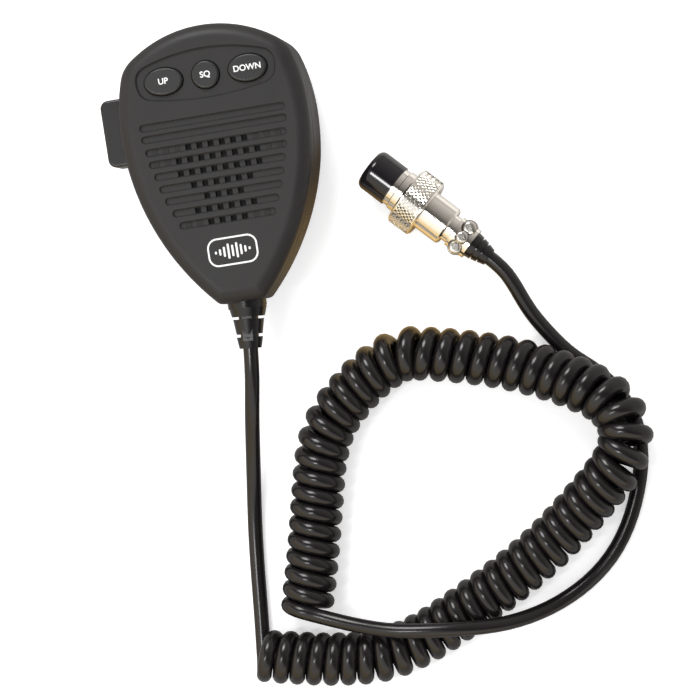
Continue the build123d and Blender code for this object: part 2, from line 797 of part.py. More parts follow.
with BuildPart() as plug_clamp:
    with BuildSketch(plug_cross_plane(clamp_front - 0.1)):
        Circle(clamp_half)
    extrude(amount=0.1 - clamp_length)
    with BuildSketch(plug_top_plane(0)):
        with Locations(*plug_screw_places):
            Circle(ear_r)
    extrude(amount=ear_top)
    with BuildSketch(plug_top_plane(split_gap / 2)):
        with Locations((clamp_middle, 0)):
            Rectangle(clamp_length + 2, 16)
    extrude(amount=-9, mode=Mode.SUBTRACT)
    # flat seats for the screw heads, and their holes
    with BuildSketch(plug_top_plane(ear_top)):
        with Locations(*plug_screw_places):
            Circle(head_r + 0.1)
    extrude(amount=6, mode=Mode.SUBTRACT)
    with BuildSketch(plug_top_plane(saddle_screw_seat)):
        with Locations((clamp_middle, 0)):
            Circle(saddle_head_r + 0.1)
    extrude(amount=2, mode=Mode.SUBTRACT)
    with BuildSketch(plug_top_plane(0)):
        with Locations(*plug_screw_places, (clamp_middle, 0)):
            Circle(thread_r + 0.05)
    extrude(amount=5, mode=Mode.SUBTRACT)
    with BuildSketch(plug_cross_plane(clamp_front + 1)):
        Circle(cable_bore_r)
    extrude(amount=-clamp_length - 2, mode=Mode.SUBTRACT)
save(plug_clamp, "plug_clamp")

with BuildPart() as plug_clamp_screws:
    with BuildSketch(plug_top_plane(ear_top)):
        with Locations(*plug_screw_places):
            Circle(head_r)
    extrude(amount=head_h)
    with BuildSketch(plug_top_plane(saddle_screw_seat)):
        with Locations((clamp_middle, 0)):
            Circle(saddle_head_r)
    extrude(amount=head_h)
    rims = plug_clamp_screws.edges().filter_by(GeomType.CIRCLE).group_by(Axis.Z)
    fillet(rims[-1] + rims[1], radius=1.2)
    with BuildSketch(plug_top_plane(-2.2)):
        with Locations(*plug_screw_places):
            Circle(thread_r)
    extrude(amount=2.2 + ear_top)
    with BuildSketch(plug_top_plane(cable_bore_r + 0.05)):
        with Locations((clamp_middle, 0)):
            Circle(thread_r)
    extrude(amount=saddle_screw_seat - cable_bore_r - 0.05)
    # cross recess in the middle head
    with BuildSketch(plug_top_plane(saddle_screw_seat + head_h)):
        with Locations((clamp_middle, 0)):
            Rectangle(2.0, 0.45)
            Rectangle(0.45, 2.0)
    extrude(amount=-0.7, mode=Mode.SUBTRACT)
save(plug_clamp_screws, "plug_clamp_screws")

with BuildPart() as plug_insert:
    with BuildSketch(plug_cross_plane(4)):
        Circle(5.55)
        Circle(0.85, mode=Mode.SUBTRACT)
        with PolarLocations(contact_ring_r, 5):
            Circle(0.85, mode=Mode.SUBTRACT)
    extrude(amount=10)
save(plug_insert, "plug_insert")

with BuildPart() as plug_contacts:
    with BuildSketch(plug_cross_plane(0)):
        Circle(0.8)
        with PolarLocations(contact_ring_r, 5):
            Circle(0.8)
    extrude(amount=13.8)
    with BuildSketch(plug_cross_plane(7)):
        Circle(0.5)
        with PolarLocations(contact_ring_r, 5):
            Circle(0.5)
    extrude(amount=7, mode=Mode.SUBTRACT)
save(plug_contacts, "plug_contacts")

with BuildPart() as plug_boot:
    with BuildSketch(plug_plane):
        Polygon(
            (-15.4, 0), (-15.4, cable_bore_r - 0.05), (-22.3, cable_bore_r - 0.05),
            (-22.3, 4.4), (-24.2, 4.2), (-24.2, 3.5), (-24.7, 3.5), (-24.7, 4.0),
            (-26.4, 3.7), (-26.4, 3.0), (-26.9, 3.0), (-26.9, 3.5), (-29.2, 2.9),
            (-29.2, 0),
            align=None,
        )
    revolve(axis=plug_axis)
save(plug_boot, "plug_boot")

with BuildPart() as dust_cap:
    with BuildSketch(plug_plane):
        with BuildLine():
            Polyline(
                (17.4, 0), (17.4, nose_r + 0.05), (8.6, nose_r + 0.05), (8.6, cap_r),
                (18.9 - cap_round, cap_r),
            )
            RadiusArc((18.9 - cap_round, cap_r), (18.9, cap_r - cap_round), cap_round)
            Polyline((18.9, cap_r - cap_round), (18.9, 0), (17.4, 0))
        make_face()
    revolve(axis=plug_axis)
save(dust_cap, "dust_cap")
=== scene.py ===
import math

import bpy
from mathutils import Matrix, Vector


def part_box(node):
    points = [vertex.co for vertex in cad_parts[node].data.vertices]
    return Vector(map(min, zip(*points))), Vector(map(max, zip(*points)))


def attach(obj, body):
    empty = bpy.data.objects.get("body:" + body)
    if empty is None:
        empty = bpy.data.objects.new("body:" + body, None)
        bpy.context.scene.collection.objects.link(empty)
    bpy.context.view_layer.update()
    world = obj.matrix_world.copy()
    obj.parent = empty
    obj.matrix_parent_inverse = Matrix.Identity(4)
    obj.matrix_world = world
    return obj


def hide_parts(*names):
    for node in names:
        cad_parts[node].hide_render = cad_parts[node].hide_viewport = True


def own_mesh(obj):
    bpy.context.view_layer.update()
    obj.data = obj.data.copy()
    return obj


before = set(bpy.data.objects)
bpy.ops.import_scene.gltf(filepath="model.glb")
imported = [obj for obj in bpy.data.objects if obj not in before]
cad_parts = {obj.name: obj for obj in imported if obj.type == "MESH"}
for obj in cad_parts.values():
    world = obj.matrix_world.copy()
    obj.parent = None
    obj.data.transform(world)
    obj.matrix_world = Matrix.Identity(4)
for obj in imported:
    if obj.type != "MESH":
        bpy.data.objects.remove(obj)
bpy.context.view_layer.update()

bl_info = {
    "name": "Hand microphone",
    "version": (1, 0, 0),
    "blender": (4, 5, 0),
    "location": "View3D > Sidebar > Microphone",
    "description": "Builds the finished look of a hand microphone around its solid parts",
    "category": "Object",
}

MM = 0.001
BODY = "microphone"

# The curly length, besides what the panel sets.
COIL_SWELL = 1.17            # a coiled jacket is this much thicker than a straight one
COIL_PITCH = 5.25 * MM       # from one turn to the next
COIL_SLACK = 0.7 * MM        # added to it where the turns lie widest
SLACK_PLACE, SLACK_SPREAD = 0.60, 0.14       # shares of the length
BEND_REACH = 6 * MM          # a bend is measured over this much to each side
LEAST_SQUEEZE = 0.78         # turns inside a bend aren't closer than this share
TURN_GAP = 2.04              # turns lie this many cord radii apart at least
TURN_FILL = 0.985            # a jacket fills this share of its turn
CENTRE_STEPS = 12            # steps in each stretch of the line that the turns go round

# Cord routes: the corner points of smooth lines, in millimetres.
LEAD_ROUTE = [
    (-1.14, -64.95, 22.5), (-1.84, -72.95, 22.5), (-4.5, -84.5, 18.2),
    (-7.4, -96.5, 10), (-10, -109.5, 4), (-11.9, -122, 2.4), (-13.3, -136.5, 2.4),
    (-14.4, -151, 2.4), (-15, -164, 2.4),
]
COIL_ROUTE = [
    (-15.5, -163.3, 8.4), (-4, -165.7, 8.4), (9, -168.1, 8.4), (24, -169.1, 8.4),
    (38, -165.3, 8.4), (52, -158.6, 8.4), (66, -151.2, 8.4), (80, -142.8, 8.4),
    (91, -134.2, 9.6), (101, -125.6, 12.2), (108.5, -118.8, 14.8), (112.6, -109.4, 15.6),
    (109.4, -99.6, 15.2), (101.5, -93.6, 13.4), (91, -87.8, 10.2), (78, -82.2, 8.4),
    (64, -78, 8.4), (54, -75.7, 8.4), (45, -73.8, 8.4), (36, -77.5, 8.4),
    (27.5, -83.5, 8.4), (19, -91.5, 8.4), (14, -101.5, 8.4), (10.5, -116, 8.4),
    (7, -131, 8.4), (3.8, -143, 8.4), (1.5, -151, 8.4),
]
TAIL_ROUTE = [
    (6, -153, 14.4), (17, -157.2, 16.4), (28.5, -160.4, 20),
    (40, -161.9, 21), (52, -163.1, 20), (63, -164, 15), (73, -163.2, 8.8),
    (83, -160.4, 4), (93, -155.2, 2.4), (101.5, -147.9, 2.4), (108, -138.6, 2.4),
    (112.6, -128, 2.4), (115.4, -117, 2.4), (115, -106, 2.4), (111, -96.5, 2.4),
    (105, -89, 2.4), (97.8, -83, 2.4), (92.6, -76.2, 3.2), (87.9, -68.6, 5.5),
    (85.4, -62.6, 7.8), (83.5, -57.1, 9.6), (80.62, -51.66, 10.1), (76.73, -47.63, 10.1),
]

# The plug's own frame: middle of its ring, and the way its nose points.
PLUG_CENTRE = Vector((57.0, -27.2, 10.1)) * MM
PLUG_ANGLE = math.radians(134.0)


# ------------------------------------------------------------------ user values
class MicrophoneSizes(bpy.types.PropertyGroup):
    """Sizes that shape the pieces made here."""

    cord_diameter: bpy.props.FloatProperty(
        name="Cord diameter", description="Outside diameter of the lead",
        default=4.8 * MM, unit="LENGTH")
    coil_diameter: bpy.props.FloatProperty(
        name="Coil diameter", description="Outside diameter of the curly length",
        default=16.8 * MM, unit="LENGTH")
    coil_turns: bpy.props.IntProperty(
        name="Coil turns", description="Whole turns in the curly length", default=57)
    turn_points: bpy.props.IntProperty(
        name="Points per turn", description="Control points in one turn", default=16)
    letter_height: bpy.props.FloatProperty(
        name="Letter height", description="Height of the keys' capital letters",
        default=1.85 * MM, unit="LENGTH")
    print_height: bpy.props.FloatProperty(
        name="Print thickness", description="How far the white print stands proud",
        default=0.03 * MM, unit="LENGTH")
    knurls_around: bpy.props.IntProperty(
        name="Knurls around", description="Diamonds around the coupling ring", default=46)
    knurls_along: bpy.props.IntProperty(
        name="Knurls along", description="Diamonds along the coupling ring", default=4)


class MicrophoneColours(bpy.types.PropertyGroup):
    """Colours of the finishes."""

    shell: bpy.props.FloatVectorProperty(
        name="Shell", description="Matt plastic of the two shells", subtype="COLOR",
        default=(0.0185, 0.0170, 0.0174))
    lever: bpy.props.FloatVectorProperty(
        name="Lever", description="Smooth plastic of the push-to-talk lever",
        subtype="COLOR", default=(0.0140, 0.0126, 0.0130))
    key: bpy.props.FloatVectorProperty(
        name="Keys", description="Satin plastic of the keys", subtype="COLOR",
        default=(0.016, 0.0155, 0.016))
    cord: bpy.props.FloatVectorProperty(
        name="Cord", description="Glossy jacket of the lead", subtype="COLOR",
        default=(0.0085, 0.0070, 0.0075))
    rubber: bpy.props.FloatVectorProperty(
        name="Rubber", description="Strain reliefs and boot", subtype="COLOR",
        default=(0.008, 0.0072, 0.0080))
    vinyl: bpy.props.FloatVectorProperty(
        name="Vinyl", description="Dust cap", subtype="COLOR",
        default=(0.009, 0.008, 0.010))
    nickel: bpy.props.FloatVectorProperty(
        name="Nickel", description="Plated metal of the plug", subtype="COLOR",
        default=(0.86, 0.83, 0.78))
    lettering: bpy.props.FloatVectorProperty(
        name="Lettering", description="White print", subtype="COLOR",
        default=(0.85, 0.85, 0.84))


# ---------------------------------------------------------------- node groups
def new_group(name, inputs, outputs):
    """An empty node group with float inputs (name, default) and float outputs."""
    group = bpy.data.node_groups.new(name, "ShaderNodeTree")
    for label, value in inputs:
        socket = group.interface.new_socket(label, in_out="INPUT", socket_type="NodeSocketFloat")
        socket.default_value = value
    for label in outputs:
        group.interface.new_socket(label, in_out="OUTPUT", socket_type="NodeSocketFloat")
    return group, group.nodes.new("NodeGroupInput"), group.nodes.new("NodeGroupOutput")


def moulded_grain():
    """Fine moulded texture: a height for bump and a slow mottling mask."""
    group, source, result = new_group(
        "moulded_grain", [("Grain scale", 3000.0), ("Mottle scale", 90.0)],
        ["Height", "Mottle"])
    place = group.nodes.new("ShaderNodeTexCoord")
    grain = group.nodes.new("ShaderNodeTexNoise")
    grain.inputs["Detail"].default_value = 3.0
    grain.inputs["Roughness"].default_value = 0.6
    mottle = group.nodes.new("ShaderNodeTexNoise")
    mottle.inputs["Detail"].default_value = 4.0
    link = group.links.new
    link(place.outputs["Object"], grain.inputs["Vector"])
    link(place.outputs["Object"], mottle.inputs["Vector"])
    link(source.outputs["Grain scale"], grain.inputs["Scale"])
    link(source.outputs["Mottle scale"], mottle.inputs["Scale"])
    link(grain.outputs["Fac"], result.inputs["Height"])
    link(mottle.outputs["Fac"], result.inputs["Mottle"])
    return group


def fine_scratches():
    """Hairline scratches in one direction, as on handled plated metal."""
    group, source, result = new_group(
        "fine_scratches", [("Scale", 1400.0), ("Stretch", 12.0)], ["Mask"])
    place = group.nodes.new("ShaderNodeTexCoord")
    stretch = group.nodes.new("ShaderNodeCombineXYZ")
    turned = group.nodes.new("ShaderNodeMapping")
    turned.inputs["Rotation"].default_value = (0.0, 0.0, -PLUG_ANGLE)
    scaled = group.nodes.new("ShaderNodeVectorMath")
    scaled.operation = "MULTIPLY"
    stretch.inputs["X"].default_value = 1.0
    noise = group.nodes.new("ShaderNodeTexNoise")
    noise.inputs["Detail"].default_value = 2.0
    link = group.links.new
    link(place.outputs["Object"], turned.inputs["Vector"])
    link(source.outputs["Stretch"], stretch.inputs["Y"])
    link(source.outputs["Stretch"], stretch.inputs["Z"])
    link(turned.outputs["Vector"], scaled.inputs[0])
    link(stretch.outputs["Vector"], scaled.inputs[1])
    link(scaled.outputs["Vector"], noise.inputs["Vector"])
    link(source.outputs["Scale"], noise.inputs["Scale"])
    link(noise.outputs["Fac"], result.inputs["Mask"])
    return group


def studio_reflections():
    """What glossy surfaces see around them: warm on the lower left, dark overhead.

    Across is how far a place lies to the plug's side, and Up how far above it.
    """
    group, source, result = new_group(
        "studio_reflections", [("Across", 0.0), ("Up", 1.0)], [])
    group.interface.new_socket("Colour", in_out="OUTPUT", socket_type="NodeSocketColor")
    angle = group.nodes.new("ShaderNodeMath")
    angle.operation = "ARCTAN2"
    share = group.nodes.new("ShaderNodeMapRange")
    share.inputs["From Min"].default_value = -math.pi
    share.inputs["From Max"].default_value = math.pi
    bands = group.nodes.new("ShaderNodeValToRGB")
    stops = [
        (0.0, (0.34, 0.24, 0.12)), (0.10, (0.72, 0.48, 0.20)), (0.20, (1.08, 0.76, 0.34)),
        (0.30, (1.28, 1.00, 0.56)), (0.36, (1.50, 1.42, 1.25)), (0.455, (1.3, 1.3, 1.27)),
        (0.478, (0.16, 0.15, 0.13)), (0.525, (0.10, 0.10, 0.09)), (0.56, (0.26, 0.24, 0.22)),
        (0.66, (0.55, 0.52, 0.49)), (0.80, (0.95, 0.92, 0.88)), (1.0, (0.5, 0.47, 0.44)),
    ]
    elements = bands.color_ramp.elements
    while len(elements) < len(stops):
        elements.new(0.5)
    for element, (place, colour) in zip(elements, stops):
        element.position = place
        element.color = (*colour, 1.0)
    link = group.links.new
    link(source.outputs["Across"], angle.inputs[0])
    link(source.outputs["Up"], angle.inputs[1])
    link(angle.outputs["Value"], share.inputs["Value"])
    link(share.outputs["Result"], bands.inputs["Fac"])
    link(bands.outputs["Color"], result.inputs["Colour"])
    return group


GROUPS = {"grain": moulded_grain(), "scratches": fine_scratches(),
          "reflections": studio_reflections()}


# ------------------------------------------------------------------- materials
MOTTLE_SCALE = 70.0
MOTTLED_COLOUR = (0.85, 1.15)          # darkest and lightest, as shares of the colour
MOTTLED_GLOSS = (0.92, 1.08)
GRAIN_DEPTH = 0.05 * MM
MARKED_COLOUR = (0.92, 1.06)
MARKED_GLOSS = (0.7, 1.4)
MARK_DEPTH = 0.02 * MM
COAT_ROUGHNESS = 0.12


def new_material(name, roughness, metallic=0.0, coat=0.0, specular=0.5):
    """A material with its Principled shader's plain values set."""
    material = bpy.data.materials.new(name)
    material.use_nodes = True
    shader = material.node_tree.nodes["Principled BSDF"]
    shader.inputs["Roughness"].default_value = roughness
    shader.inputs["Metallic"].default_value = metallic
    shader.inputs["Coat Weight"].default_value = coat
    shader.inputs["Coat Roughness"].default_value = COAT_ROUGHNESS
    shader.inputs["Specular IOR Level"].default_value = specular
    return material, shader


def add_group(material, name, **values):
    """Places a shared node group in a material, with its own values."""
    node = material.node_tree.nodes.new("ShaderNodeGroup")
    node.node_tree = GROUPS[name]
    for label, value in values.items():
        node.inputs[label.replace("_", " ")].default_value = value
    return node


def shade_between(material, mask, low, high):
    """A colour that runs from low to high with a mask from 0 to 1."""
    mix = material.node_tree.nodes.new("ShaderNodeMix")
    mix.data_type = "RGBA"
    mix.inputs["A"].default_value = (*low, 1.0)
    mix.inputs["B"].default_value = (*high, 1.0)
    material.node_tree.links.new(mask, mix.inputs["Factor"])
    return mix.outputs["Result"]


def value_between(material, mask, low, high):
    """A number that runs from low to high with a mask from 0 to 1."""
    span = material.node_tree.nodes.new("ShaderNodeMapRange")
    span.inputs["From Min"].default_value = 0.3
    span.inputs["From Max"].default_value = 0.7
    span.inputs["To Min"].default_value = low
    span.inputs["To Max"].default_value = high
    material.node_tree.links.new(mask, span.inputs["Value"])
    return span.outputs["Result"]


def add_bump(material, shader, height, strength, distance):
    """Leads a height through a Bump node to the shader's normal."""
    bump = material.node_tree.nodes.new("ShaderNodeBump")
    bump.inputs["Strength"].default_value = strength
    bump.inputs["Distance"].default_value = distance
    material.node_tree.links.new(height, bump.inputs["Height"])
    material.node_tree.links.new(bump.outputs["Normal"], shader.inputs["Normal"])


def scaled(colour, factor):
    """A colour made darker or lighter."""
    return tuple(min(1.0, channel * factor) for channel in colour)


def plastic(name, colour, roughness, grain_scale, bump, coat=0.0, specular=0.5):
    """Moulded plastic or rubber with a fine grain and a slight mottling."""
    material, shader = new_material(name, roughness, coat=coat, specular=specular)
    grain = add_group(material, "grain", Grain_scale=grain_scale, Mottle_scale=MOTTLE_SCALE)
    link = material.node_tree.links.new
    mottle = grain.outputs["Mottle"]
    link(shade_between(material, mottle, *(scaled(colour, share) for share in MOTTLED_COLOUR)),
         shader.inputs["Base Color"])
    link(value_between(material, mottle, *(roughness * share for share in MOTTLED_GLOSS)),
         shader.inputs["Roughness"])
    add_bump(material, shader, grain.outputs["Height"], bump, GRAIN_DEPTH)
    return material


def plated_metal(name, colour, roughness):
    """Plated metal with faint turning and handling marks."""
    material, shader = new_material(name, roughness, metallic=1.0)
    marks = add_group(material, "scratches", Scale=900.0, Stretch=9.0)
    mask = marks.outputs["Mask"]
    link = material.node_tree.links.new
    link(shade_between(material, mask, *(scaled(colour, share) for share in MARKED_COLOUR)),
         shader.inputs["Base Color"])
    link(value_between(material, mask, *(roughness * share for share in MARKED_GLOSS)),
         shader.inputs["Roughness"])
    add_bump(material, shader, mask, 0.02, MARK_DEPTH)
    return material


def woven_cloth(name, colour):
    """Open black weave behind the grille."""
    material, shader = new_material(name, 0.9)
    place = material.node_tree.nodes.new("ShaderNodeTexCoord")
    weave = material.node_tree.nodes.new("ShaderNodeTexVoronoi")
    weave.inputs["Scale"].default_value = 1600.0
    link = material.node_tree.links.new
    link(place.outputs["Object"], weave.inputs["Vector"])
    link(shade_between(material, weave.outputs["Distance"], scaled(colour, 0.3), colour),
         shader.inputs["Base Color"])
    add_bump(material, shader, weave.outputs["Distance"], 0.6, 0.2 * MM)
    return material


def make_materials(colours):
    """Every finish, by name."""
    return {
        "shell": plastic("shell_matt_black", colours.shell, 0.48, 2600.0, 0.45,
                         specular=0.38),
        "lever": plastic("lever_gloss_black", colours.lever, 0.3, 1500.0, 0.05),
        "key": plastic("key_satin_black", colours.key, 0.38, 2600.0, 0.15),
        "switch": plastic("switch_black", (0.02, 0.02, 0.02), 0.45, 2000.0, 0.1),
        "cord": plastic("cord_gloss_black", colours.cord, 0.23, 700.0, 0.04),
        "rubber": plastic("rubber_black", colours.rubber, 0.22, 1800.0, 0.08),
        "vinyl": plastic("cap_vinyl_black", colours.vinyl, 0.09, 900.0, 0.015),
        # painted shade: the closed holes' darkness is painted as a colour about a third of the
        # shell's
        "dark": plastic("closed_hole_painted_shade", scaled(colours.shell, 0.35), 0.6, 2600.0, 0.2),
        "print": plastic("print_white", colours.lettering, 0.5, 2500.0, 0.05),
        "insert": plastic("insert_phenolic", (0.02, 0.015, 0.012), 0.3, 1500.0, 0.05),
        "board": plastic("board_green", (0.01, 0.08, 0.03), 0.35, 1200.0, 0.05, coat=0.4),
        "wire": plastic("wire_red", (0.45, 0.03, 0.02), 0.3, 1500.0, 0.03),
        "cloth": woven_cloth("grille_cloth_black", (0.02, 0.02, 0.02)),
        "nickel": plated_metal("nickel_plate", colours.nickel, 0.14),
        "screw": plated_metal("nickel_screw", scaled(colours.nickel, 0.8), 0.22),
        "steel": plated_metal("zinc_plate", (0.55, 0.55, 0.54), 0.3),
        "brass": plated_metal("brass_contact", (0.8, 0.6, 0.3), 0.22),
        "capsule": plated_metal("capsule_aluminium", (0.7, 0.7, 0.71), 0.3),
    }


NODE_FINISHES = {
    "shell": ["front_shell", "rear_shell", "hang_stud"],
    "lever": ["ptt_lever"],
    "key": ["key_up", "key_squelch", "key_down"],
    "switch": ["tact_switches", "tact_plunger_up", "tact_plunger_squelch",
               "tact_plunger_down", "ptt_switch", "ptt_switch_plunger"],
    "board": ["circuit_board"],
    "cloth": ["grille_cloth"],
    "capsule": ["mic_capsule"],
    "rubber": ["strain_relief", "plug_boot", "capsule_boot"],
    "vinyl": ["dust_cap"],
    "cord": ["cord_stub"],
    "wire": ["lead_wires"],
    "insert": ["plug_insert"],
    "brass": ["plug_contacts"],
    "nickel": ["plug_nose", "plug_shell", "plug_clamp"],
    "screw": ["plug_clamp_screws"],
    "steel": ["case_screws", "stud_screw", "board_screws", "ptt_pivot_pin", "cord_clamp",
              "clamp_screws"],
}
MATERIALS = {}


# --------------------------------------------------------------------- helpers
def start_clean():
    """Leaves edit mode and deselects everything."""
    if bpy.context.object and bpy.context.object.mode != "OBJECT":
        bpy.ops.object.mode_set(mode="OBJECT")
    bpy.ops.object.select_all(action="DESELECT")


def apply_place(piece):
    """Moves a piece's place, turn and scale into its mesh."""
    start_clean()
    piece.select_set(True)
    bpy.context.view_layer.objects.active = piece
    bpy.ops.object.transform_apply(location=True, rotation=True, scale=True)


def finish_piece(piece, name, finish, body):
    """Names a piece, gives it its material and rides it on a body."""
    piece.name = name
    piece.data.name = name
    piece.data.materials.clear()
    piece.data.materials.append(MATERIALS[finish])
    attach(piece, body)


def route_line(points, steps):
    """Points along a route's smooth line, from a curve with no thickness."""
    curve = bpy.data.curves.new("route", "CURVE")
    curve.dimensions = "3D"
    spline = curve.splines.new("NURBS")
    spline.points.add(len(points) - 1)
    for point, place in zip(spline.points, points):
        point.co = (*(Vector(place) * MM), 1.0)
    spline.order_u = 3
    spline.use_endpoint_u = True
    spline.resolution_u = steps
    carrier = bpy.data.objects.new("route", curve)
    bpy.context.collection.objects.link(carrier)
    mesh = bpy.data.meshes.new_from_object(carrier)
    line = [vertex.co.copy() for vertex in mesh.vertices]
    bpy.data.objects.remove(carrier)
    bpy.data.curves.remove(curve)
    bpy.data.meshes.remove(mesh)
    return line


# ------------------------------------------------------------------------ cord
def coil_points(line, helix_r, cord_r, turns, turn_points):
    """The curly length's control points and thickness: turns round a smooth line.

    The winding is left-handed. It starts at the bottom and ends at the top. Where
    the line bends, its turns open out a little, and they are widest apart past half way.
    Each point is as thick as fills its turn, up to the swell of a coiled jacket.
    """
    gaps = [(b - a).length for a, b in zip(line, line[1:])]
    tangents = [(b - a).normalized() for a, b in zip(line, line[1:])]
    reach = max(1, round(BEND_REACH / (sum(gaps) / len(gaps))))
    phases = [0.0]
    for i, gap in enumerate(gaps):
        before = tangents[max(0, i - reach)]
        after = tangents[min(len(tangents) - 1, i + reach)]
        span = sum(gaps[max(0, i - reach):i + reach]) or gap
        curvature = before.angle(after, 0.0) / span
        squeeze = max(LEAST_SQUEEZE, 1.0 - curvature * helix_r)
        slack = (i / len(gaps) - SLACK_PLACE) / SLACK_SPREAD
        pitch = COIL_PITCH + COIL_SLACK * math.exp(-slack ** 2)
        phases.append(phases[-1] + gap / max(pitch, TURN_GAP * cord_r / squeeze))
    whole = turns + 0.5
    phases = [phase * whole / phases[-1] for phase in phases]
    points = []
    thickness = []
    index = 0
    count = round(whole * turn_points)
    for step in range(count + 1):
        phase = step * whole / count
        while index < len(gaps) - 1 and phases[index + 1] < phase:
            index += 1
        share = (phase - phases[index]) / (phases[index + 1] - phases[index])
        centre = line[index].lerp(line[index + 1], min(1.0, share))
        along = tangents[index]
        upward = (Vector((0, 0, 1)) - along * along.z).normalized()
        sideways = along.cross(upward)
        angle = math.pi + 2 * math.pi * phase
        points.append(centre + helix_r * (math.cos(angle) * upward - math.sin(angle) * sideways))
        pitch = gaps[index] / (phases[index + 1] - phases[index])
        thickness.append(min(COIL_SWELL, TURN_FILL * pitch / (2 * cord_r)))
    return points, thickness


class MICROPHONE_OT_cord(bpy.types.Operator):
    """Make the lead: straight, curly and straight again, as one cord"""

    bl_idname = "microphone.cord"
    bl_label = "Curly lead"

    def execute(self, context):
        sizes = context.scene.microphone_sizes
        cord_r = sizes.cord_diameter / 2
        helix_r = sizes.coil_diameter / 2 - cord_r
        # the swollen turns need a little more room above what they lie on
        lift = Vector((0, 0, (COIL_SWELL - 1) * cord_r))
        centre_line = [place + lift for place in route_line(COIL_ROUTE, CENTRE_STEPS)]
        # the smooth line passes a little inside its control points
        shrink = math.cos(math.pi / sizes.turn_points)
        coil, thickness = coil_points(centre_line, helix_r / shrink, cord_r,
                                      sizes.coil_turns, sizes.turn_points)
        points = [Vector(place) * MM for place in LEAD_ROUTE[:-1]]
        points += coil
        points += [Vector(place) * MM for place in TAIL_ROUTE]
        curve = bpy.data.curves.new("curly_lead", "CURVE")
        curve.dimensions = "3D"
        spline = curve.splines.new("NURBS")
        spline.points.add(len(points) - 1)
        first_turn = len(LEAD_ROUTE) - 1
        for point, place in zip(spline.points, points):
            point.co = (*place, 1.0)
        for i, swell in enumerate(thickness):
            ends = min(i, len(thickness) - 1 - i) / sizes.turn_points
            spline.points[first_turn + i].radius = 1 + (swell - 1) * min(1.0, ends)
        spline.order_u = 3
        spline.use_endpoint_u = True
        spline.resolution_u = 3
        curve.bevel_depth = cord_r
        curve.bevel_resolution = 5
        curve.use_fill_caps = True
        cord = bpy.data.objects.new("curly_lead", curve)
        context.collection.objects.link(cord)
        finish_piece(cord, "curly_lead", "cord", BODY)
        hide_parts("cord_lead", "cord_curl", "cord_tail")
        return {"FINISHED"}


